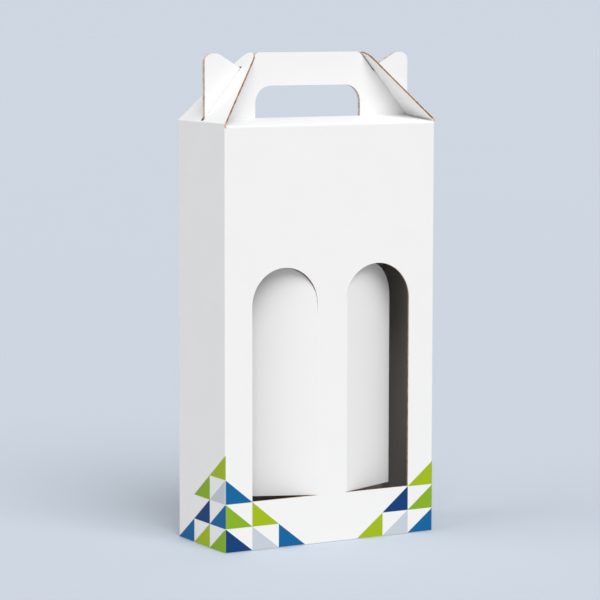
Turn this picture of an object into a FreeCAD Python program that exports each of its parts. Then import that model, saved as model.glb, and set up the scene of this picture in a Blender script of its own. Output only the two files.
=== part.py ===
import FreeCAD, Part
import os
import re
import Sketcher
from FreeCAD import Vector

# A carry box for two bottles, folded and glued from one sheet of thin corrugated board.
# Millimetres. The origin is the middle of the base, on the floor. X runs across the front, +Y points to
# the back and +Z up. The front, with its two windows, faces -Y.

SIZES = [
    ("board", 1.7, "thickness of the corrugated board"),
    ("width", 207.0, "outside, across the front"),
    ("depth", 86.0, "outside, front to back"),
    ("front_height", 361.0, "floor to the top folds of front and back"),
    ("flap_fold_rise", 1.6, "from those folds up to the axis on which a side flap folds"),
    ("roof_rise", 4.2, "from those folds up to the fold between roof and handle"),
    ("corner_radius", 2.0, "outside of an upright fold"),
    ("base_fold_radius", 0.8, "outside of the folds under the box"),
    ("top_fold_radius", 1.9, "outside of the front and back top folds"),
    ("handle_fold_radius", 1.2, "underside of the fold between roof and handle"),
    ("layer_gap", 0.2, "between the two layers of the handle"),
    ("fold_gap", 0.3, "left open beside a fold that moves"),
    ("cut_gap", 0.35, "between a flap and the board that it was cut from or passes"),
    ("roof_fold_inset", 1.2, "from the box's side to the end of a top fold"),
    ("roof_end_gap", 0.8, "between a roof panel's end and the side panel or side flap"),
    ("post_width", 28.3, "between the two windows"),
    ("window_margin", 25.8, "from the box's side to a window's outer edge"),
    ("window_bottom", 42.3, "floor to a window's lower edge"),
    ("window_leg", 166.1, "height of a window up to where its arch begins"),
    ("window_flap_angle", 23.0, "how far a window flap is folded inward, degrees"),
    ("handle_rise", 55.9, "from the fold under the handle to its top"),
    ("handle_half", 49.3, "middle to the end of the handle's top edge"),
    ("handle_round", 3.0, "radius at the end of the handle's top edge"),
    ("shoulder_reach", 4.3, "from the end of the handle's top edge out to its shoulder"),
    ("shoulder_drop", 3.0, "from the handle's top down to its shoulder"),
    ("grip_half", 52.1, "half the hand hole's width"),
    ("grip_bridge", 28.5, "height of the handle above the hand hole"),
    ("grip_radius", 15.0, "upper corners of the hand hole"),
    ("ear_inset", 2.9, "from the box's side to the outer edge of an ear"),
    ("ear_drop", 0.7, "from the handle's top down to the top of an ear"),
    ("ear_top", 12.6, "from an ear's outer edge to where its top begins to slope down"),
    ("ear_radius", 7.5, "outer top corner of an ear"),
    ("ear_inner_radius", 8.0, "inner top corner of an ear"),
    ("ear_foot", 2.0, "upright start of an ear's inner edge, along the side flap"),
    ("ear_base_rise", 0.4, "from the roof's peak to the lower corner of an ear"),
    ("notch_gap", 0.5, "between a side flap's inner face and the handle at the notch's bottom"),
    ("notch_reach", 3.9, "from a side flap's slot end down to the notch's bottom"),
    ("flap_lean", 50.35, "a side flap's slope above level, degrees"),
    ("flap_end", 15.2, "from a side flap's slot to its tip"),
    ("flap_tip_radius", 13.3, "round tip of a side flap"),
    ("flap_root_inset", 0.7, "from the box's front to the end of a side flap's fold"),
    ("slot_start", 1.0, "a side flap's fold to its slot"),
    ("swing_gap", 0.15, "between an ear's furthest corner and the slot's end as the flap swings"),
    ("base_margin", 3.0, "from the box's side to the end panels seen under the base"),
    ("seam", 0.5, "width of the seams in the base"),
    ("lock_half", 18.0, "half the length of the base's lock"),
    ("lock_depth", 9.0, "how far the base's lock steps off the middle"),
    ("dust_flap", 60.0, "length of an end panel inside the base"),
    ("glue_width", 18.0, "width of the glue flap"),
    ("glue_inset", 6.0, "from the ends of the upright fold to the glue flap"),
    ("glue_groove", 0.6, "width of the groove along the glued corner"),
    ("ink", 0.1, "thickness given to the print"),
    ("print_bottom", 0.6, "floor to the lowest print"),
    ("cell_height", 21.0, "pitch of the printed shapes upward"),
    ("side_print_end", 0.8, "from the back to the last printed shape on a side"),
]
NAMES = {name for name, value, note in SIZES}

# Places and lengths that follow from the sizes.
PLACES = {
    "flap_fold_height": "front_height + flap_fold_rise",
    "peak_height": "front_height + roof_rise",
    "handle_height": "peak_height + handle_rise",
    "hinge_x": "width / 2 - board / 2",
    "wall_top": "front_height - top_fold_radius",
    "handle_face": "board + layer_gap / 2",
    "roof_run": "depth / 2 - handle_face",
    "roof_under": "board * (roof_rise - hypot(roof_rise; roof_run)) / roof_run",
    "roof_side": "width / 2 - board - roof_end_gap",
    "roof_middle": "hinge_x - board / 2 * sin(flap_lean) - roof_end_gap - "
                   "(peak_height - flap_fold_height + board / 2 * cos(flap_lean)) / tan(flap_lean)",
    "shoulder_half": "handle_half + shoulder_reach",
    "grip_height": "handle_height - grip_bridge",
    "ear_half": "width / 2 - ear_inset",
    "ear_inner": "ear_half - ear_top",
    "ear_height": "handle_height - ear_drop",
    "slot_end": "hypot(hinge_x - ear_inner; ear_height - flap_fold_height) + swing_gap",
    "slot_half": "board + layer_gap / 2 + cut_gap",
    "flap_reach": "slot_end + flap_end",
    "flap_root": "depth / 2 - flap_root_inset",
    "window_inner": "post_width / 2",
    "window_outer": "width / 2 - window_margin",
    "window_spring": "window_bottom + window_leg",
    "window_hinge": "window_inner + fold_gap + board / 2",
    "window_middle": "(window_inner + window_outer) / 2",
    "window_radius": "(window_outer - window_inner) / 2",
    "base_tip": "width / 2 - depth / 2",
    "cell_width": "window_margin",
    "side_cell_width": "(depth - side_print_end) / 3",
}

# The printed right-angled triangles. Each has its face, and how many cells it stands from the front corner and
# from the floor. The right angle is in the cell's lower corner, on the side of the front corner.
PRINT = {
    "print_navy": [("front_left", 0, 0), ("front_right", 1, 1), ("left", 1, 1), ("right", 0, 2)],
    "print_blue": [("front_left", 2, 0), ("front_left", 0, 2), ("front_right", 0, 0),
                   ("left", 0, 1), ("left", 2, 0), ("right", 1, 0)],
    "print_lime": [("front_left", 1, 1), ("front_right", 0, 2), ("front_right", 2, 0),
                   ("left", 0, 3), ("left", 1, 0), ("right", 0, 1)],
    "print_green": [("front_left", 0, 1), ("front_right", 0, 1), ("left", 0, 0), ("left", 1, 2),
                    ("right", 0, 0), ("right", 2, 0)],
    "print_pale": [("front_left", 1, 0), ("front_right", 1, 0), ("left", 0, 2), ("right", 1, 1)],
}
PRINT_ROWS = 4

doc = FreeCAD.newDocument("bottle_box")
sheet = doc.addObject("Spreadsheet::Sheet", "Sizes")


def fillSheet():
    for row, (name, value, note) in enumerate(SIZES, start=1):
        sheet.set("A%d" % row, name)
        sheet.set("B%d" % row, str(value))
        sheet.set("C%d" % row, note)
        sheet.setAlias("B%d" % row, name)
    doc.recompute()


def formula(text):
    """The text with each place written out and each size turned into a reference to its cell."""
    def known(word):
        name = word.group()
        if name in PLACES:
            return "(%s)" % formula(PLACES[name])
        return "Sizes." + name if name in NAMES else name
    return re.sub(r"[a-z_]+", known, text)


def value(text):
    return float(sheet.evalExpression(formula(text)))


def alongFlap(along, inside):
    """Where a point on the right side flap's section lies in X and Z, from its distances along and inside."""
    x = "hinge_x - (%s) * cos(flap_lean) - (%s) * sin(flap_lean)" % (along, inside)
    z = "flap_fold_height + (%s) * sin(flap_lean) - (%s) * cos(flap_lean)" % (along, inside)
    return x, z


def newBody(name):
    return doc.addObject("PartDesign::Body", name)


def newSketch(body, name, plane, offset="0"):
    sketch = body.newObject("Sketcher::SketchObject", name)
    support = [item for item in body.Origin.OriginFeatures if item.Role == plane][0]
    sketch.AttachmentSupport = [(support, "")]
    sketch.MapMode = "FlatFace"
    sketch.setExpression("AttachmentOffset.Base.z", formula(offset))
    return sketch


def pin(sketch, geometry, point, x=None, y=None):
    """Holds a point of a sketch at the given distances from its origin."""
    for kind, text in (("DistanceX", x), ("DistanceY", y)):
        if text is not None:
            held = sketch.addConstraint(Sketcher.Constraint(kind, -1, 1, geometry, point, value(text)))
            sketch.setExpression("Constraints[%d]" % held, formula(text))


def addLoop(sketch, corners):
    """Draws a closed run of straight lines through corners, each bound to the sheet."""
    first = sketch.GeometryCount
    places = [Vector(value(x), value(y), 0) for x, y in corners]
    for number, place in enumerate(places):
        sketch.addGeometry(Part.LineSegment(place, places[(number + 1) % len(places)]))
    for number, (x, y) in enumerate(corners):
        following = (number + 1) % len(corners)
        sketch.addConstraint(Sketcher.Constraint("Coincident", first + number, 2, first + following, 1))
        pin(sketch, first + number, 1, x, y)


def addBox(sketch, low_x, high_x, low_y, high_y):
    addLoop(sketch, [(low_x, low_y), (high_x, low_y), (high_x, high_y), (low_x, high_y)])


def bothSides(corners):
    """The corners and their mirror image across the middle of the box."""
    return [corners, [("-(%s)" % x, y) for x, y in reversed(corners)]]


def pad(body, name, sketch, length, side="One side", down=False):
    feature = body.newObject("PartDesign::Pad", name)
    feature.Profile = sketch
    feature.SideType = side
    feature.Reversed = down
    feature.setExpression("Length", formula(length))
    doc.recompute()
    return feature


def pocket(body, name, sketch, length, side="One side", reverse=False):
    """Cuts a sketch into the body and makes sure that it took something away."""
    before = body.Shape.Volume
    feature = body.newObject("PartDesign::Pocket", name)
    feature.Profile = sketch
    feature.SideType = side
    feature.Reversed = reverse
    feature.setExpression("Length", formula(length))
    doc.recompute()
    if body.Shape.Volume >= before:
        raise RuntimeError("%s cuts nothing" % name)
    return feature


def edgesAt(feature, places):
    """Names of the edges that lie along one axis at any of the places, each a dictionary of coordinates."""
    found = []
    for number, edge in enumerate(feature.Shape.Edges, start=1):
        for place in places:
            offsets = [abs(getattr(end.Point, axis) - at) for end in edge.Vertexes for axis, at in place.items()]
            if max(offsets) < 0.001:
                found.append("Edge%d" % number)
    return found


def roundEdges(body, name, feature, places, radius):
    fillet = body.newObject("PartDesign::Fillet", name)
    fillet.Base = (feature, edgesAt(feature, places))
    fillet.setExpression("Radius", formula(radius))
    doc.recompute()
    return fillet


def cutter(name, low, high):
    """A box between two corners, for cutting or joining."""
    box = doc.addObject("Part::Box", name)
    for axis, side, start, end in zip("xyz", ("Length", "Width", "Height"), low, high):
        box.setExpression("Placement.Base." + axis, formula(start))
        box.setExpression(side, formula("(%s) - (%s)" % (end, start)))
    return box


def makeShell():
    """The four walls and the base, up to where the top folds begin."""
    body = newBody("shell")
    footprint = newSketch(body, "footprint", "XY_Plane")
    addBox(footprint, "-width / 2", "width / 2", "-depth / 2", "depth / 2")
    block = pad(body, "block", footprint, "wall_top")
    half_width = value("width / 2")
    half_depth = value("depth / 2")
    folded = [{"x": -half_width, "y": -half_depth}, {"x": half_width, "y": -half_depth},
              {"x": -half_width, "y": half_depth}]
    corners = roundEdges(body, "corner_folds", block, folded, "corner_radius")
    roundEdges(body, "base_folds", corners, [{"z": 0.0}], "base_fold_radius")
    inside = newSketch(body, "inside", "XY_Plane", "2 * board")
    addBox(inside, "-(width / 2 - board)", "width / 2 - board", "-(depth / 2 - board)", "depth / 2 - board")
    pocket(body, "hollow", inside, "front_height", reverse=True)
    tops = newSketch(body, "side_top_outline", "XY_Plane", "wall_top")
    end = "(depth / 2 - top_fold_radius)"
    for loop in bothSides([("width / 2 - board", "-" + end), ("width / 2", "-" + end),
                           ("width / 2", end), ("width / 2 - board", end)]):
        addLoop(tops, loop)
    pad(body, "side_tops", tops, "flap_fold_height - board / 2 - fold_gap - wall_top")
    ends = newSketch(body, "end_panels", "XY_Plane")
    edge = "(depth / 2 - base_margin)"
    for loop in bothSides([("width / 2 - base_margin", "-" + edge), ("width / 2 - base_margin", edge),
                           ("base_tip", "0")]):
        addLoop(ends, loop)
    pocket(body, "end_panel_steps", ends, "board", reverse=True)
    return body


def makeTop():
    """The front roof panel and its layer of the handle, with both ears."""
    body = newBody("front_top")
    section = newSketch(body, "top_section", "YZ_Plane")
    addLoop(section, [("-depth / 2", "wall_top"), ("-depth / 2", "front_height"),
                      ("-handle_face", "peak_height"), ("-handle_face", "handle_height"),
                      ("-layer_gap / 2", "handle_height"), ("-layer_gap / 2", "peak_height + roof_under"),
                      ("-(depth / 2 - board)", "front_height + roof_under"),
                      ("-(depth / 2 - board)", "wall_top")])
    sheet_pad = pad(body, "top_sheet", section, "width - 2 * roof_fold_inset", side="Symmetric")
    front = value("-depth / 2")
    behind = value("-(depth / 2 - board)")
    under = value("front_height + roof_under")
    peak = value("peak_height + roof_under")
    top = value("front_height")
    outer = roundEdges(body, "fold_outside", sheet_pad, [{"y": front, "z": top}], "top_fold_radius")
    inner = roundEdges(body, "fold_inside", outer, [{"y": behind, "z": under}], "top_fold_radius - board")
    roundEdges(body, "handle_fold", inner, [{"y": value("-layer_gap / 2"), "z": peak}], "handle_fold_radius")

    ends = newSketch(body, "roof_end_outline", "XY_Plane", "wall_top")
    fold_end = "-(depth / 2 - top_fold_radius)"
    for loop in bothSides([("roof_side", fold_end), ("width", fold_end), ("width", "-handle_face"),
                           ("roof_middle", "-handle_face")]):
        addLoop(ends, loop)
    pocket(body, "roof_ends", ends, "handle_height", reverse=True)

    above = "handle_height + board"
    outline = newSketch(body, "handle_outline", "XZ_Plane")
    bottom = "slot_end - notch_reach"
    inside = "board / 2 + notch_gap"
    outside = "-(board / 2 + cut_gap)"
    for loop in bothSides([("handle_half", above), ("handle_half", "handle_height"),
                           ("shoulder_half", "handle_height - shoulder_drop"),
                           alongFlap(bottom, inside), alongFlap(bottom, outside),
                           alongFlap(bottom + " + ear_foot", outside),
                           ("ear_inner", "ear_height"), ("width", "ear_height"), ("width", above)]):
        addLoop(outline, loop)
    pocket(body, "notches", outline, "depth", side="Symmetric")

    edges = newSketch(body, "ear_edges", "XZ_Plane")
    for loop in bothSides([("roof_middle", "wall_top"), ("roof_middle", "peak_height + ear_base_rise"),
                           ("ear_half", "peak_height + 2 * ear_base_rise"), ("ear_half", above),
                           ("width", above), ("width", "wall_top")]):
        addLoop(edges, loop)
    pocket(body, "ear_sides", edges, "2 * handle_face", side="Symmetric")

    grip = newSketch(body, "grip_outline", "XZ_Plane")
    addBox(grip, "-grip_half", "grip_half", "peak_height", "grip_height")
    feature = pocket(body, "grip", grip, "depth", side="Symmetric")
    for name, x, z, radius in (("grip_corners", "grip_half", "grip_height", "grip_radius"),
                               ("handle_corners", "handle_half", "handle_height", "handle_round"),
                               ("ear_slopes", "ear_inner", "ear_height", "ear_inner_radius"),
                               ("ear_corners", "ear_half", "ear_height", "ear_radius")):
        places = [{"x": sign * value(x), "z": value(z)} for sign in (-1, 1)]
        feature = roundEdges(body, name, feature, places, radius)
    return body


def mirrored(name, source, normal):
    copy = doc.addObject("Part::Mirroring", name)
    copy.Source = source
    copy.Normal = normal
    doc.recompute()
    return copy


def windowCutters():
    """What is cut through the front for the two arched windows."""
    front = "-depth / 2 - board"
    back = "-depth / 2 + 2 * board"
    tools = []
    for side, sign in (("left", "-"), ("right", "")):
        low, high = ("-window_outer", "-window_inner") if sign else ("window_inner", "window_outer")
        tools.append(cutter("window_%s_leg" % side, (low, front, "window_bottom"), (high, back, "window_spring")))
        arch = doc.addObject("Part::Cylinder", "window_%s_arch" % side)
        arch.Placement.Rotation = FreeCAD.Rotation(Vector(1, 0, 0), -90)
        arch.setExpression("Radius", formula("window_radius"))
        arch.setExpression("Height", formula("3 * board"))
        arch.setExpression("Placement.Base.x", formula(sign + "window_middle"))
        arch.setExpression("Placement.Base.y", formula(front))
        arch.setExpression("Placement.Base.z", formula("window_spring"))
        tools.append(arch)
    return tools


def slit(name, start, end, low, high):
    """A narrow cut along X or Y between two points of the base, from height low to high."""
    lower = tuple("(%s) - seam / 2" % place for place in start) + (low,)
    upper = tuple("(%s) + seam / 2" % place for place in end) + (high,)
    return cutter(name, lower, upper)


def baseCutters():
    """The seams of the base: the stepped lock between the two long panels, and the ends of the dust flaps."""
    below = "-board"
    runs = [(("-base_tip", "0"), ("-lock_half", "0")), (("-lock_half", "0"), ("-lock_half", "lock_depth")),
            (("-lock_half", "lock_depth"), ("0", "lock_depth")), (("0", "-lock_depth"), ("0", "lock_depth")),
            (("0", "-lock_depth"), ("lock_half", "-lock_depth")),
            (("lock_half", "-lock_depth"), ("lock_half", "0")), (("lock_half", "0"), ("base_tip", "0"))]
    tools = [slit("base_seam_%d" % number, start, end, below, "board")
             for number, (start, end) in enumerate(runs, start=1)]
    flap_end = "(width / 2 - board - dust_flap)"
    inner = "(depth / 2 - board - base_margin)"
    for side, sign in (("left", "-"), ("right", "")):
        tools.append(slit("dust_flap_%s_end" % side, (sign + flap_end, "-" + inner), (sign + flap_end, inner),
                          "board", "3 * board"))
    return tools


def makeCarton(windows):
    """The whole folded sheet apart from the flaps that move: one solid."""
    shell = makeShell()
    front_top = makeTop()
    back_top = mirrored("back_top", front_top, Vector(0, 1, 0))
    side = "width / 2 - board"
    glue_back = "depth / 2 - board"
    glue_flap = cutter("glue_flap", (side + " - glue_width", glue_back + " - board", "2 * board + glue_inset"),
                       (side, glue_back, "wall_top - glue_inset"))
    groove = cutter("glue_groove_cut", ("width / 2 - glue_groove", glue_back + " - glue_groove", "board"),
                    ("width / 2 + board", glue_back, "wall_top"))
    joined = doc.addObject("Part::MultiFuse", "carton_panels")
    joined.Shapes = [shell, front_top, back_top, glue_flap]
    joined.Refine = True
    tools = doc.addObject("Part::MultiFuse", "carton_cuts")
    tools.Shapes = windows + baseCutters() + [groove]
    carton = doc.addObject("Part::Cut", "carton_body")
    carton.Base = joined
    carton.Tool = tools
    doc.recompute()
    return carton


def makeSideFlap():
    """The left side flap: a tapering tongue with a round tip and a slot, round along its fold."""
    body = newBody("side_flap_left")
    plan = newSketch(body, "side_flap_outline", "XY_Plane")
    root = value("flap_root")
    centre = value("flap_reach - flap_tip_radius")
    radius = value("flap_tip_radius")
    plan.addGeometry(Part.LineSegment(Vector(0, root, 0), Vector(0, -root, 0)))
    plan.addGeometry(Part.LineSegment(Vector(0, -root, 0), Vector(centre, -radius, 0)))
    tip = Part.Circle(Vector(centre, 0, 0), Vector(0, 0, 1), radius)
    plan.addGeometry(Part.ArcOfCircle(tip, -1.2, 1.2))
    plan.addGeometry(Part.LineSegment(Vector(centre, radius, 0), Vector(0, root, 0)))
    plan.addConstraint(Sketcher.Constraint("Coincident", 0, 2, 1, 1))
    plan.addConstraint(Sketcher.Constraint("Coincident", 3, 2, 0, 1))
    plan.addConstraint(Sketcher.Constraint("Tangent", 1, 2, 2, 1))
    plan.addConstraint(Sketcher.Constraint("Tangent", 2, 2, 3, 1))
    pin(plan, 0, 1, "0", "flap_root")
    pin(plan, 0, 2, "0", "-flap_root")
    pin(plan, 2, 3, "flap_reach - flap_tip_radius", "0")
    held = plan.addConstraint(Sketcher.Constraint("Radius", 2, radius))
    plan.setExpression("Constraints[%d]" % held, formula("flap_tip_radius"))
    addBox(plan, "slot_start", "slot_end", "-slot_half", "slot_half")
    pad(body, "side_flap_plate", plan, "board", side="Symmetric")
    fold = newSketch(body, "side_flap_fold", "XZ_Plane")
    addRound(fold)
    pad(body, "side_flap_root", fold, "2 * flap_root", side="Symmetric")
    body.Placement.Rotation = FreeCAD.Rotation(Vector(0, -1, 0), value("flap_lean"))
    body.setExpression("Placement.Rotation.Angle", formula("flap_lean"))
    body.setExpression("Placement.Base.x", formula("-hinge_x"))
    body.setExpression("Placement.Base.z", formula("flap_fold_height"))
    doc.recompute()
    return body


def addRound(sketch):
    """A circle as wide as the board, about the fold's axis."""
    circle = Part.Circle(Vector(0, 0, 0), Vector(0, 0, 1), value("board / 2"))
    number = sketch.addGeometry(circle)
    sketch.addConstraint(Sketcher.Constraint("Coincident", number, 3, -1, 1))
    held = sketch.addConstraint(Sketcher.Constraint("Radius", number, value("board / 2")))
    sketch.setExpression("Constraints[%d]" % held, formula("board / 2"))


def makeWindowFlap():
    """The right window flap: the window's own cut-out, arched at its top, round along its fold."""
    body = newBody("window_flap_right")
    face = newSketch(body, "window_flap_outline", "XZ_Plane")
    low = "window_bottom + cut_gap"
    end = "window_outer - cut_gap - window_hinge"
    centre = "window_middle - window_hinge"
    clear = "board / 2 + cut_gap"
    radius = value("window_radius - cut_gap")
    spring = value("window_spring")
    rise = (radius ** 2 - value("%s - (%s)" % (centre, clear)) ** 2) ** 0.5
    corners = [Vector(0, value(low), 0), Vector(value(end), value(low), 0), Vector(value(end), spring, 0),
               Vector(value(clear), spring + rise, 0), Vector(value(clear), spring, 0), Vector(0, spring, 0)]
    crown = Vector(value(centre), spring + radius, 0)
    face.addGeometry(Part.LineSegment(corners[0], corners[1]))
    face.addGeometry(Part.LineSegment(corners[1], corners[2]))
    face.addGeometry(Part.Arc(corners[2], crown, corners[3]))
    for number in (3, 4, 5):
        face.addGeometry(Part.LineSegment(corners[number], corners[(number + 1) % 6]))
    for number in range(6):
        face.addConstraint(Sketcher.Constraint("Coincident", number, 2, (number + 1) % 6, 1))
    pin(face, 0, 1, "0", low)
    pin(face, 1, 1, end, low)
    pin(face, 2, 1, end, "window_spring")
    pin(face, 2, 3, centre, "window_spring")
    pin(face, 3, 1, clear)
    pin(face, 4, 1, clear, "window_spring")
    pin(face, 5, 1, "0", "window_spring")
    pad(body, "window_flap_plate", face, "board", side="Symmetric")
    fold = newSketch(body, "window_flap_fold", "XY_Plane", low)
    addRound(fold)
    pad(body, "window_flap_root", fold, "window_spring - (%s)" % low)
    body.Placement.Rotation = FreeCAD.Rotation(Vector(0, 0, 1), value("window_flap_angle"))
    body.setExpression("Placement.Rotation.Angle", formula("window_flap_angle"))
    body.setExpression("Placement.Base.x", formula("window_hinge"))
    body.setExpression("Placement.Base.y", formula("-depth / 2 + board / 2"))
    doc.recompute()
    return body


def makeSkin(windows):
    """A thin layer on the walls near the floor, open at the windows, from which the print is taken."""
    body = newBody("print_layer")
    outline = newSketch(body, "print_layer_outline", "XY_Plane", "print_bottom")
    half_width = "(width / 2 + ink)"
    half_depth = "(depth / 2 + ink)"
    addBox(outline, "-" + half_width, half_width, "-" + half_depth, half_depth)
    height = "%d * cell_height" % PRINT_ROWS
    block = pad(body, "print_block", outline, height)
    corners = [{"x": x * value(half_width), "y": y * value(half_depth)} for x in (-1, 1) for y in (-1, 1)]
    roundEdges(body, "print_corners", block, corners, "corner_radius + ink")
    core = newBody("print_core")
    footprint = newSketch(core, "print_core_outline", "XY_Plane")
    addBox(footprint, "-width / 2", "width / 2", "-depth / 2", "depth / 2")
    core_block = pad(core, "print_core_block", footprint, "2 * " + height)
    corners = [{"x": x * value("width / 2"), "y": y * value("depth / 2")} for x in (-1, 1) for y in (-1, 1)]
    roundEdges(core, "print_core_corners", core_block, corners, "corner_radius")
    inner = doc.addObject("Part::MultiFuse", "print_layer_cuts")
    inner.Shapes = [core] + windows
    skin = doc.addObject("Part::Cut", "print_skin")
    skin.Base = body
    skin.Tool = inner
    doc.recompute()
    return skin


def triangle(face, column, row):
    """The corners of one printed shape, as distances along its face and up."""
    pitch = "side_cell_width" if face in ("left", "right") else "cell_width"
    near, far = "%d * %s" % (column, pitch), "%d * %s" % (column + 1, pitch)
    low = "%d * cell_height" % row if row else "print_bottom"
    corners = [(near, low), (far, low), (near, "%d * cell_height" % (row + 1))]
    if face in ("left", "right"):
        return [("-(depth / 2 - %s)" % along, up) for along, up in corners]
    sign = "-" if face == "front_left" else ""
    return [("%s(width / 2 - %s)" % (sign, along), up) for along, up in corners]


def makePrint(name, shapes, skin):
    """One colour of print: its triangles, cut out of the thin layer on the walls."""
    split = "(1 - cos(45)) * corner_radius - ink"
    blocks = []
    for face in ("front_left", "front_right", "left", "right"):
        here = [shape for shape in shapes if shape[0] == face]
        if not here:
            continue
        body = newBody("%s_%s" % (name, face))
        if face in ("left", "right"):
            start = "width / 2 - (%s)" % split
            offset = start if face == "right" else "-(%s)" % start
            sketch = newSketch(body, body.Name + "_shapes", "YZ_Plane", offset)
        else:
            sketch = newSketch(body, body.Name + "_shapes", "XZ_Plane", "depth / 2 - (%s)" % split)
        for shape in here:
            addLoop(sketch, triangle(*shape))
        pad(body, body.Name + "_block", sketch, split + " + board", down=face == "left")
        blocks.append(body)
    joined = doc.addObject("Part::Compound", name + "_blocks")
    joined.Links = blocks
    field = doc.addObject("Part::Common", name)
    field.Base = skin
    field.Tool = joined
    doc.recompute()
    return field


def check(parts):
    """Stops if any object failed or any sub-part has no sound shape."""
    for item in doc.Objects:
        if "Invalid" in item.State or "Error" in item.State:
            raise RuntimeError("%s failed: %s" % (item.Name, item.State))
    for part in parts:
        if part.Shape.isNull() or not part.Shape.isValid():
            raise RuntimeError("%s has no sound shape" % part.Label)


def main():
    fillSheet()
    windows = windowCutters()
    side_flap = makeSideFlap()
    window_flap = makeWindowFlap()
    parts = [makeCarton(windows), side_flap, mirrored("side_flap_right", side_flap, Vector(1, 0, 0)),
             window_flap, mirrored("window_flap_left", window_flap, Vector(1, 0, 0))]
    skin = makeSkin(windows)
    parts += [makePrint(name, shapes, skin) for name, shapes in PRINT.items()]
    doc.recompute()
    check(parts)
    os.makedirs("parts", exist_ok=True)
    for part in parts:
        part.Shape.exportStep("parts/%s.step" % part.Label)
        print("%-18s %d solid(s) %10.1f mm3" % (part.Label, len(part.Shape.Solids), part.Shape.Volume))


main()
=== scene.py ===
import math

import bpy
from mathutils import Matrix, Vector


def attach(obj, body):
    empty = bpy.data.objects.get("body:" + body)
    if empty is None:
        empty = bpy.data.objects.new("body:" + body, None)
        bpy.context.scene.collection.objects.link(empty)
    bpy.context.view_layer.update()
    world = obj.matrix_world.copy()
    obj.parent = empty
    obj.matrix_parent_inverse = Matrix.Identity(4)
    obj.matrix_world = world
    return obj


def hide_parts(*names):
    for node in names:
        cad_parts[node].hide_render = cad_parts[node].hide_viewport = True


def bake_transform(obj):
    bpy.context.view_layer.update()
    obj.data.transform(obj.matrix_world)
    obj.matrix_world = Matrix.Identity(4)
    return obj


# A carry box for two bottles, folded from one sheet of white corrugated board. Metres, windows facing -Y.

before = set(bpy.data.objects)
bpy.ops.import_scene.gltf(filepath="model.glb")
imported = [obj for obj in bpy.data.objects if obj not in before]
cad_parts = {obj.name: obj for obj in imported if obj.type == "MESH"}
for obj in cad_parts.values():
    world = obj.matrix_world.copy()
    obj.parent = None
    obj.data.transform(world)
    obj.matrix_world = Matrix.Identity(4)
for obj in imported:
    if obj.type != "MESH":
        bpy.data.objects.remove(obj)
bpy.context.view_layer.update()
print("frame loaded")

board = {
    "thick": 0.0017,
    "liner": 0.00026,
    "medium": 0.00024,
    "pitch": 0.0033,
    "recess": 0.0007,
    "step": 0.00045,
    "foldEdge": 0.00095,
}
carton = {
    "front": -0.043,
    "frontInside": -0.0413,
    "frontTop": 0.361,
    "wallTop": 0.3592,
    "peak": 0.3652,
    "layerMiddle": 0.00095,
    "roofEnds": (0.098, 0.1018),
    # the box inside which the liner is painted darker: painted shade of the closed box's inner walls
    "inside": (0.1019, 0.0414, 0.36),
    "postHalf": 0.0142,
    "windowReach": 0.079,
    "windowLow": 0.0415,
    "windowHigh": 0.241,
    "handleLow": 0.36545,
    "handleClear": 0.003,
    "notch": (((0.05588, 0.00135), (0.0546, 0.0019)), ((0.05588, -0.0012), (0.0546, -0.0012))),
}
sideFlap = {"hinge": (0.10265, 0.3626), "lean": 50.35, "foldHalf": 0.04232, "creaseReach": (0.0016, 0.0009)}


# Shader sums are written as expressions on sockets.
class Signal:
    def __init__(self, tree, socket=None):
        self.tree = tree
        self.socket = socket

    def node(self, kind, settings=(), sockets=(), output=0):
        made = self.tree.nodes.new("ShaderNode" + kind)
        for name, setting in dict(settings).items():
            setattr(made, name, setting)
        for name, value in dict(sockets).items():
            if isinstance(value, Signal):
                self.tree.links.new(value.socket, made.inputs[name])
            else:
                made.inputs[name].default_value = value
        return Signal(self.tree, made.outputs[output]) if made.outputs else None

    def maths(self, operation, first, second=0.0):
        return self.node("Math", {"operation": operation}, {0: first, 1: second})

    def __add__(self, other):
        return self.maths("ADD", self, other)

    def __mul__(self, other):
        return self.maths("MULTIPLY", self, other)

    __radd__ = __add__
    __rmul__ = __mul__

    def noise(self, place, scale, detail):
        return self.node("TexNoise", sockets={"Vector": place, "Scale": scale, "Detail": detail})

    def blend(self, factor, first, second):
        return self.node("Mix", {"data_type": "RGBA"}, {0: factor, 6: first, 7: second}, 2)


def newMaterial(name):
    material = bpy.data.materials.new(name)
    material.use_nodes = True
    material.node_tree.nodes.clear()
    return material, Signal(material.node_tree)


def finishMaterial(start, **sockets):
    named = {name.replace("_", " "): value for name, value in sockets.items()}
    shader = start.node("BsdfPrincipled", sockets=named)
    start.node("OutputMaterial", sockets={"Surface": shader})


# The white liner's colours and the painted shade inside the box, how finely it is patterned, as scales of
# noise, and how high its surface stands.
paper = {
    "white": ((0.845, 0.845, 0.852, 1), (0.875, 0.874, 0.878, 1)),
    "cloud": 28.0,
    "cloudHeight": 0.00006,
    "fibre": 1500.0,
    "fibreTone": (0.82, 0.815, 0.81, 1),
    "fibreShare": 0.5,
    "fibreHeight": 0.000012,
    "speck": 950.0,
    "speckLevel": 0.79,
    "speckTone": (0.55, 0.5, 0.44, 1),
    "speckShare": 0.18,
    "waveHeight": 0.000004,
    # painted shade: the darker colour given to the walls inside the closed box
    "insidePaintedShade": (0.5, 0.49, 0.48, 1),
}
cutPaper = {"fibre": 1400.0, "rough": 210.0, "roughRange": (0.36, 0.6), "height": 0.00003}
inkLayer = {"patch": 45.0, "gain": 1.08, "lift": 0.004, "height": 0.00001}


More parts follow.
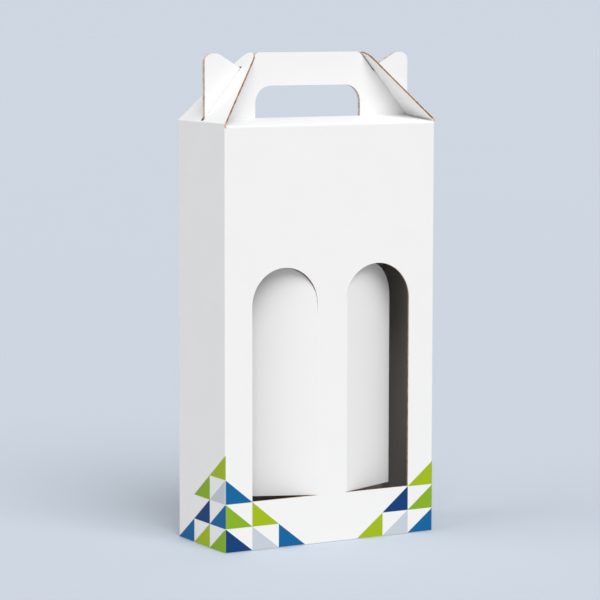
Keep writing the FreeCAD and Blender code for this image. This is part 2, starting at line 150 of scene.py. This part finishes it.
def whiteLiner(name, inside=()):
    material, start = newMaterial(name)
    place = start.node("TexCoord", output="Object")
    along = start.node("Attribute", {"attribute_name": "fluteAlong"}, output="Fac")
    cloud = start.noise(place, paper["cloud"], 3.0)
    fibre = start.noise(place, paper["fibre"], 3.0)
    speck = start.maths("GREATER_THAN", start.noise(place, paper["speck"], 1.0), paper["speckLevel"])
    wave = start.maths("SINE", along * (2 * math.pi / board["pitch"]))
    colour = start.blend(cloud, *paper["white"])
    colour = start.blend(fibre * paper["fibreShare"], colour, paper["fibreTone"])
    colour = start.blend(speck * paper["speckShare"], colour, paper["speckTone"])
    # Within the box given by inside, the liner's colour is painted darker: painted shade of the closed box's
    # inner walls.
    paintedShadeMask = start.maths("ADD", 1.0) if inside else None
    for axis, limit in enumerate(inside):
        part = start.maths("ABSOLUTE", start.node("SeparateXYZ", sockets={0: place}, output=axis))
        paintedShadeMask = paintedShadeMask * start.maths("LESS_THAN", part, limit)
    if inside:
        colour = start.blend(paintedShadeMask, colour, paper["insidePaintedShade"])
    height = fibre * paper["fibreHeight"] + wave * paper["waveHeight"] + cloud * paper["cloudHeight"]
    normal = start.node("Bump", sockets={"Height": height, "Distance": 1.0, "Strength": 1.0})
    finishMaterial(start, Base_Color=colour, Roughness=fibre * 0.12 + 0.52, Normal=normal)
    return material


def kraft(name, dark, light):
    material, start = newMaterial(name)
    place = start.node("TexCoord", output="Object")
    fibre = start.noise(place, cutPaper["fibre"], 3.0)
    rough = start.noise(place, cutPaper["rough"], 2.0)
    lowest, highest = cutPaper["roughRange"]
    rough = start.node("MapRange", {"clamp": True}, {"Value": rough, 1: lowest, 2: highest})
    colour = start.blend(fibre * 0.35 + rough * 0.65, (*dark, 1), (*light, 1))
    height = fibre * cutPaper["height"]
    normal = start.node("Bump", sockets={"Height": height, "Distance": 1.0, "Strength": 1.0})
    finishMaterial(start, Base_Color=colour, Roughness=0.85, Normal=normal)
    return material


def ink(name, colour):
    material, start = newMaterial(name)
    place = start.node("TexCoord", output="Object")
    fibre = start.noise(place, paper["fibre"], 3.0)
    patch = start.noise(place, inkLayer["patch"], 2.0)
    lighter = tuple(part * inkLayer["gain"] + inkLayer["lift"] for part in colour)
    shade = start.blend(fibre * 0.55 + patch * 0.45, (*colour, 1), (*lighter, 1))
    height = fibre * inkLayer["height"]
    normal = start.node("Bump", sockets={"Height": height, "Distance": 1.0, "Strength": 1.0})
    finishMaterial(start, Base_Color=shade, Roughness=fibre * 0.1 + 0.45, Specular_IOR_Level=0.12,
                   Normal=normal)
    return material


# Brown of the cut edges, darkest and lightest: the liner's own edge, the hollow behind it, darkened as
# painted shade of the flute tunnels, and the medium.
cutTones = {
    "flap": (((0.42, 0.24, 0.14), (0.86, 0.63, 0.45)), ((0.17, 0.085, 0.042), (0.4, 0.23, 0.13)),
             ((0.34, 0.19, 0.1), (0.78, 0.52, 0.33))),
    "window": (((0.42, 0.19, 0.09), (0.82, 0.5, 0.32)), ((0.24, 0.105, 0.05), (0.48, 0.25, 0.135)),
               ((0.38, 0.18, 0.09), (0.74, 0.43, 0.25))),
    "handle": (((0.6, 0.46, 0.36), (0.92, 0.81, 0.71)), ((0.38, 0.27, 0.2), (0.6, 0.47, 0.37)),
               ((0.52, 0.39, 0.3), (0.84, 0.7, 0.58))),
}
materials = {"flapLiner": whiteLiner("flapLiner"), "cartonLiner": whiteLiner("cartonLiner", carton["inside"])}
for place, tones in cutTones.items():
    for part, (dark, light) in zip(("Lip", "ShadedHollow", "Medium"), tones):
        materials[place + part] = kraft(place + part, dark, light)
inks = {
    "print_lime": (0.335, 0.452, 0.008),
    "print_green": (0.222, 0.398, 0.017),
    "print_blue": (0.002, 0.116, 0.308),
    "print_navy": (0.003, 0.042, 0.166),
    "print_pale": (0.516, 0.558, 0.619),
}
for node, colour in inks.items():
    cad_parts[node].data.materials.clear()
    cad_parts[node].data.materials.append(ink(node + "_ink", colour))
print("materials made")


# Tolerances for the work on the meshes: metres, degrees, or how much of a normal points one way.
mesh = {
    "merge": 0.000003,  # corners this close become one
    "flat": 0.8,  # degrees, below which neighbouring faces become one
    "smooth": 32,  # degrees, above which an edge stays sharp
    "cutSnap": 0.0000001,
    "hollowInset": 0.0000001,  # almost none, so that the hollow's walls stand square
    "mediumGap": 0.00005,  # between the medium and the bottom of the hollow
    "railShift": 0.0005,  # an edge that crosses the board by less runs along it
    "above": 0.0001,
    "corner": 0.0002,  # how near to its place a corner is looked for
    "sideways": 0.3,
    "endOn": 0.5,
    "square": 0.9,
}


def only(piece):
    if bpy.context.mode != "OBJECT":
        bpy.ops.object.mode_set(mode="OBJECT")
    bpy.ops.object.select_all(action="DESELECT")
    piece.select_set(True)
    bpy.context.view_layer.objects.active = piece


def pick(piece, kind, wanted):
    # Selects the faces or edges that wanted() says yes to, and opens the piece in edit mode.
    only(piece)
    data = piece.data
    for items in (data.vertices, data.edges, data.polygons):
        items.foreach_set("select", [False] * len(items))
    count = 0
    if kind == "FACE":
        for face in data.polygons:
            face.select = wanted(face.center, face.normal)
            count += face.select
    else:
        for edge in data.edges:
            ends = [data.vertices[number].co for number in edge.vertices]
            edge.select = wanted(*ends)
            for number in edge.vertices if edge.select else ():
                data.vertices[number].select = True
            count += edge.select
    bpy.context.tool_settings.mesh_select_mode = (False, kind == "EDGE", kind == "FACE")
    bpy.ops.object.mode_set(mode="EDIT")
    return count


def addMaterials(piece, liner, places):
    piece.data.materials.append(materials[liner])
    for key in [place + part for place in places for part in ("Lip", "ShadedHollow", "Medium")]:
        piece.data.materials.append(materials[key])


def paint(piece, slot):
    # Gives what is picked the material in a slot, and goes back to object mode.
    piece.active_material_index = slot
    bpy.ops.object.material_slot_assign()
    bpy.ops.object.mode_set(mode="OBJECT")


def sheetFrom(node, name, liner, places):
    # A joined-up copy of a node's loose triangles, with flat panels as single faces.
    piece = bpy.data.objects.new(name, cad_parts[node].data.copy())
    bpy.context.scene.collection.objects.link(piece)
    piece.data.materials.clear()
    addMaterials(piece, liner, places)
    only(piece)
    bpy.ops.mesh.customdata_custom_splitnormals_clear()
    piece.data.polygons.foreach_set("material_index", [0] * len(piece.data.polygons))
    bpy.ops.object.mode_set(mode="EDIT")
    bpy.ops.mesh.select_all(action="SELECT")
    bpy.ops.mesh.remove_doubles(threshold=mesh["merge"])
    bpy.ops.mesh.dissolve_limited(angle_limit=math.radians(mesh["flat"]))
    bpy.ops.object.mode_set(mode="OBJECT")
    return piece


def openEdges(piece, isCut, layer, along, lip=1):
    # Hollows the cut edges between the two liners, and stands the wavy medium in them. The lip's material
    # slot is followed by the hollow's, which is painted shade, and the medium's.
    found = pick(piece, "FACE", isCut)
    bpy.ops.mesh.duplicate()
    bpy.ops.mesh.separate(type="SELECTED")
    bpy.ops.object.mode_set(mode="OBJECT")
    medium = [made for made in bpy.context.selected_objects if made != piece][0]
    pick(piece, "FACE", isCut)
    piece.active_material_index = lip
    bpy.ops.object.material_slot_assign()
    bpy.ops.mesh.inset(thickness=board["liner"], depth=0, use_boundary=True, use_even_offset=True)
    # The hollow gets a darker brown than the medium: painted shade in the flute tunnels.
    piece.active_material_index = lip + 1
    bpy.ops.object.material_slot_assign()
    bpy.ops.mesh.inset(thickness=mesh["hollowInset"], depth=-board["recess"], use_boundary=True,
                       use_even_offset=True)
    bpy.ops.object.mode_set(mode="OBJECT")

    def across(place):
        middle, way = layer(place)
        return (place - middle).dot(way)

    def longRail(first, second):
        level = abs(across(first) - across(second)) < mesh["railShift"]
        return (second - first).length > board["step"] and level

    while pick(medium, "EDGE", longRail):
        bpy.ops.mesh.subdivide(number_cuts=1)
        bpy.ops.object.mode_set(mode="OBJECT")
    only(medium)
    rise = board["thick"] / 2 - board["liner"] - board["medium"] / 2
    for vertex in medium.data.vertices:
        here = across(vertex.co)
        wave = rise * math.sin(2 * math.pi * along(vertex.co) / board["pitch"])
        target = wave + math.copysign(board["medium"] / 2, here)
        vertex.co += layer(vertex.co)[1] * (target - here)
    solid = medium.modifiers.new("wall", "SOLIDIFY")
    solid.thickness = board["recess"] - mesh["mediumGap"]
    solid.offset = -1
    bpy.ops.object.modifier_apply(modifier="wall")
    medium.data.polygons.foreach_set("material_index", [lip + 2] * len(medium.data.polygons))
    only(medium)
    piece.select_set(True)
    bpy.context.view_layer.objects.active = piece
    bpy.ops.object.join()
    print(piece.name, "has", found, "cut faces")


def smooth(piece):
    only(piece)
    bpy.ops.object.shade_smooth_by_angle(angle=math.radians(mesh["smooth"]), keep_sharp_edges=False)
    weighted = piece.modifiers.new("normals", "WEIGHTED_NORMAL")
    weighted.keep_sharp = True
    bpy.ops.object.modifier_apply(modifier="normals")


def markFlutes(piece, along):
    mark = piece.data.attributes.new("fluteAlong", "FLOAT", "POINT")
    mark.data.foreach_set("value", [along(vertex.co) for vertex in piece.data.vertices])


# The folded sheet: walls, roof and double handle.
def cartonLayer(place):
    # A point in the middle of the board, and the way through the board there.
    side = math.copysign(1, place.y)
    if place.z < carton["windowHigh"]:
        return Vector((0, (carton["front"] + carton["frontInside"]) / 2, 0)), Vector((0, 1, 0))
    if abs(place.x) < carton["roofEnds"][0] or place.z > carton["handleLow"] - mesh["above"]:
        return Vector((0, side * carton["layerMiddle"], 0)), Vector((0, 1, 0))
    slope = math.atan2(carton["peak"] - carton["frontTop"], abs(carton["front"]) - 2 * carton["layerMiddle"])
    way = Vector((0, side * math.sin(slope), math.cos(slope)))
    return Vector((0, side * abs(carton["front"]), carton["frontTop"])) - way * board["thick"] / 2, way


def cartonAlong(place):
    # How far up the sheet a point is: up the wall, in over the roof and up the handle.
    if place.z <= carton["frontTop"]:
        return place.z
    if place.z > carton["peak"] - mesh["above"] and abs(place.x) < carton["roofEnds"][0]:
        return carton["frontTop"] + abs(carton["front"]) + place.z - carton["peak"]
    return carton["frontTop"] + abs(carton["front"]) - abs(place.y)


def topCut(centre, normal):
    # The edges of the handle and the ends of the roof panels.
    if abs(normal.y) > mesh["sideways"]:
        return False
    if centre.z > carton["handleLow"]:
        return True
    return (centre.z > carton["wallTop"] and abs(normal.x) > mesh["square"]
            and abs(centre.y) > carton["handleClear"]
            and carton["roofEnds"][0] < abs(centre.x) < carton["roofEnds"][1])


def windowCut(centre, normal):
    return (abs(normal.y) < mesh["sideways"] and carton["front"] < centre.y < carton["frontInside"]
            and carton["postHalf"] < abs(centre.x) < carton["windowReach"]
            and carton["windowLow"] < centre.z < carton["windowHigh"])


def foldEnd(centre, normal):
    # The cut ends of the front and back top folds, at the corners of the box.
    return (centre.z > carton["wallTop"] and abs(normal.x) > mesh["square"]
            and abs(centre.x) > carton["roofEnds"][1])


def notchCorner(side, along, inward):
    # A place in the handle, from how far up a side flap it is and how far in from the flap's middle.
    slope = math.radians(sideFlap["lean"])
    across = sideFlap["hinge"][0] - along * math.cos(slope) - inward * math.sin(slope)
    return side * across, sideFlap["hinge"][1] + along * math.sin(slope) - inward * math.cos(slope)


def deepenNotches(piece):
    # Two corners of each notch beside the handle move, so that it goes down further than the solid's.
    for vertex in piece.data.vertices:
        side = math.copysign(1, vertex.co.x)
        for before, after in carton["notch"]:
            x, z = notchCorner(side, *before)
            if math.hypot(vertex.co.x - x, vertex.co.z - z) < mesh["corner"]:
                vertex.co.x, vertex.co.z = notchCorner(side, *after)


sheet = sheetFrom("carton_body", "carton_sheet", "cartonLiner", ("window", "handle"))
deepenNotches(sheet)
openEdges(sheet, windowCut, cartonLayer, cartonAlong)
openEdges(sheet, topCut, cartonLayer, cartonAlong, 4)
pick(sheet, "FACE", foldEnd)
paint(sheet, 3)
markFlutes(sheet, cartonAlong)
smooth(sheet)
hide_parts("carton_body")
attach(sheet, "carton")
print("carton made")


# The slotted flaps at the ends of the roof, and the arched cut-outs of the windows.
windowFlap = {
    "hinge": (0.0153, -0.04215),
    "turn": 23,
    "low": 0.04265,
    "spring": 0.2084,
    "tongue": 0.0112,
    "archMiddle": 0.045925,
    "archRadii": {"left": 0.0313, "right": 0.0317},
    "creaseReach": (0.0016, 0.0016),
}
crease = {"proud": 0.00003, "tuck": 0.0002, "dip": 0.00008, "corner": 0.00022, "slack": 0.00002, "steps": 6}


def makeFlap(node, hinge, normal, way, reach, axis):
    def layer(place):
        return hinge, normal

    def along(place):
        return (place - hinge).dot(way)

    def isCut(centre, faceNormal):
        beyond = (centre - hinge).dot(reach) > board["foldEdge"]
        return abs(faceNormal.dot(normal)) < mesh["sideways"] and beyond

    def isFoldEnd(centre, faceNormal):
        return abs(faceNormal.dot(axis)) > mesh["endOn"] and (centre - hinge).dot(reach) < board["foldEdge"]

    piece = sheetFrom(node, node + "_sheet", "flapLiner", ("flap",))
    bpy.ops.object.mode_set(mode="EDIT")
    bpy.ops.mesh.select_all(action="SELECT")
    bpy.ops.mesh.bisect(plane_co=hinge + reach * board["foldEdge"], plane_no=reach,
                        threshold=mesh["cutSnap"])
    bpy.ops.object.mode_set(mode="OBJECT")
    openEdges(piece, isCut, layer, along)
    pick(piece, "FACE", isFoldEnd)
    paint(piece, 1)
    markFlutes(piece, along)
    smooth(piece)
    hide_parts(node)
    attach(piece, node)


def creaseSection(fold, reach):
    # The board's cross-section through a fold, as distances along the wall before it and out of that wall.
    def at(turn, along, out):
        return (along * math.cos(turn) + out * math.sin(turn), out * math.cos(turn) - along * math.sin(turn))

    half = board["thick"] / 2 + crease["proud"]
    ends = [((far, half - crease["dip"]), (far - crease["tuck"], half)) for far in reach]
    mitre = half * math.tan(fold / 2)
    corner = at(0, -mitre, -half)
    near, far = at(0, -mitre - crease["corner"], -half), at(fold, mitre + crease["corner"], -half)
    shares = [number / crease["steps"] for number in range(crease["steps"] + 1)]
    outer = [at(0, -along, out) for along, out in ends[0]] + [at(fold * share, 0, half) for share in shares]
    outer += [at(fold, along, out) for along, out in reversed(ends[1])]
    inner = [at(0, -along, -out) for along, out in ends[0]]
    inner += [tuple((1 - share) ** 2 * first + 2 * share * (1 - share) * middle + share ** 2 * last
                    for first, middle, last in zip(near, corner, far)) for share in shares]
    inner += [at(fold, along, -out) for along, out in reversed(ends[1])]
    return outer + inner[::-1]


def makeCrease(name, hinge, out, way, fold, reach, axis, low, high, arch=()):
    # The board on both sides of a fold and round it, drawn out along the fold.
    section = creaseSection(fold, reach)
    bpy.ops.object.select_all(action="DESELECT")
    bpy.ops.mesh.primitive_circle_add(vertices=len(section), radius=board["thick"], fill_type="NGON")
    piece = bpy.context.active_object
    piece.name = name
    addMaterials(piece, "flapLiner", ("flap",))
    for vertex, (before, beside) in zip(piece.data.vertices, section):
        vertex.co = hinge + way * before + out * beside + axis * low
    bpy.ops.object.mode_set(mode="EDIT")
    bpy.ops.mesh.select_all(action="SELECT")
    bpy.ops.mesh.extrude_region_move(TRANSFORM_OT_translate={"value": axis * (high - low)})
    for place, outward in arch:
        bpy.ops.mesh.select_all(action="SELECT")
        bpy.ops.mesh.bisect(plane_co=place, plane_no=outward.normalized(), threshold=mesh["cutSnap"],
                            use_fill=True, clear_outer=True)
    bpy.ops.mesh.select_all(action="SELECT")
    bpy.ops.mesh.normals_make_consistent(inside=False)
    bpy.ops.object.mode_set(mode="OBJECT")
    across = way.cross(out)
    for face in piece.data.polygons:
        end = abs(face.normal.dot(axis)) > mesh["endOn"]
        top = arch and face.center.z > windowFlap["spring"] and abs(face.normal.y) < mesh["sideways"]
        face.material_index = 1 if end or top else 0
    markFlutes(piece, lambda place: place.dot(across))
    smooth(piece)
    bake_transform(piece)


lean = math.radians(sideFlap["lean"])
turn = math.radians(windowFlap["turn"])
up = Vector((0, 0, 1))
for side, sign in (("left", -1), ("right", 1)):
    beside = Vector((sign, 0, 0))
    flap = "side_flap_" + side
    hinge = Vector((sign * sideFlap["hinge"][0], 0, sideFlap["hinge"][1]))
    way = up * math.sin(lean) - beside * math.cos(lean)
    makeFlap(flap, hinge, beside * math.sin(lean) + up * math.cos(lean), way, way, Vector((0, 1, 0)))
    makeCrease(flap + "_crease", hinge, beside, up, math.pi / 2 - lean, sideFlap["creaseReach"],
               Vector((0, 1, 0)), -sideFlap["foldHalf"], sideFlap["foldHalf"])

    flap = "window_flap_" + side
    forward = Vector((0, -1, 0))
    hinge = Vector((sign * windowFlap["hinge"][0], windowFlap["hinge"][1], 0))
    reach = beside * math.cos(turn) - forward * math.sin(turn)
    makeFlap(flap, hinge, beside * math.sin(turn) + forward * math.cos(turn), up, reach, up)
    arch = []
    for number in range(4):
        rise = windowFlap["tongue"] * (number + 0.5) / 4
        outward = up * rise - beside * math.sqrt(windowFlap["archRadii"][side] ** 2 - rise ** 2)
        arch.append((beside * windowFlap["archMiddle"] + up * windowFlap["spring"] + outward, outward))
    makeCrease(flap + "_crease", hinge, forward, beside, turn, windowFlap["creaseReach"], up,
               windowFlap["low"], windowFlap["spring"] + windowFlap["tongue"], arch)
print("flaps made")


# Floor, light and camera.
view = {
    "place": (-1.16815, -2.02436, 0.4635),
    "turn": 29.843,
    "down": 6.283,
    "roll": 0.093,
    "lens": 162.29,
    "sensor": 36,
    "clip": (0.05, 100),
}
studio = {
    "world": 0.425,
    "floor": (0.538, 0.592, 0.664),
    "bounce": (0.6, 0.6, 0.6),
    "backdrop": (0.6125, 0.6743, 0.7554),
    "keyLevel": 0.735,
    "keySide": -7,
    "keyHeight": 50,
    "fillLevel": 0.195,
    "fillSide": -92,
    "fillHeight": 40,
    "softness": 45,
    "floorSize": 60,
    "floorCloud": 1.2,
    "floorShade": 0.99,
}


def seenRays(start):
    # 1 for what the camera sees, straight or in a gloss, and 0 for the light that falls on the box.
    kinds = ("Camera", "Glossy", "Transmission")
    rays = [start.node("LightPath", output="Is %s Ray" % kind) for kind in kinds]
    return start.maths("MINIMUM", rays[0] + rays[1] + rays[2], 1.0)


def makeFloor():
    bpy.ops.object.select_all(action="DESELECT")
    bpy.ops.mesh.primitive_plane_add(size=studio["floorSize"])
    floor = bpy.context.active_object
    floor.name = "floor"
    material, start = newMaterial("paleFloor")
    place = start.node("TexCoord", output="Object")
    cloud = start.noise(place, studio["floorCloud"], 2.0)
    low = tuple(part * studio["floorShade"] for part in studio["floor"])
    colour = start.blend(cloud, (*low, 1), (*studio["floor"], 1))
    colour = start.blend(seenRays(start), (*studio["bounce"], 1), colour)
    finishMaterial(start, Base_Color=colour, Roughness=0.9)
    floor.data.materials.append(material)


def makeWorld():
    world = bpy.data.worlds.new("studioWorld")
    bpy.context.scene.world = world
    world.use_nodes = True
    world.node_tree.nodes.clear()
    start = Signal(world.node_tree)
    light = start.node("Background", sockets={"Color": (1, 1, 1, 1), "Strength": studio["world"]})
    backdrop = start.node("Background", sockets={"Color": (*studio["backdrop"], 1), "Strength": 1.0})
    mixed = start.node("MixShader", sockets={0: seenRays(start), 1: light, 2: backdrop})
    start.node("OutputWorld", sockets={"Surface": mixed})


def addSun(name, level, side, height):
    bpy.ops.object.light_add(type="SUN", location=(0, -1, 2))
    sun = bpy.context.active_object
    sun.name = name
    sun.data.energy = level * math.pi
    sun.data.angle = math.radians(studio["softness"])
    sun.rotation_euler = (math.radians(90 - height), 0, math.radians(side))


makeFloor()
makeWorld()
addSun("keyLight", studio["keyLevel"], studio["keySide"], studio["keyHeight"])
addSun("fillLight", studio["fillLevel"], studio["fillSide"], studio["fillHeight"])

bpy.ops.object.camera_add(location=view["place"])
camera = bpy.context.active_object
camera.data.lens = view["lens"]
camera.data.sensor_width = view["sensor"]
camera.data.clip_start, camera.data.clip_end = view["clip"]
turned = Matrix.Rotation(math.radians(-view["turn"]), 4, "Z")
tilt = turned @ Matrix.Rotation(math.radians(90 - view["down"]), 4, "X")
rolled = Matrix.Rotation(math.radians(view["roll"]), 4, "Z")
camera.matrix_world = Matrix.Translation(view["place"]) @ tilt @ rolled
bpy.context.scene.camera = camera
bpy.context.scene.view_settings.view_transform = "Standard"
print("studio made")
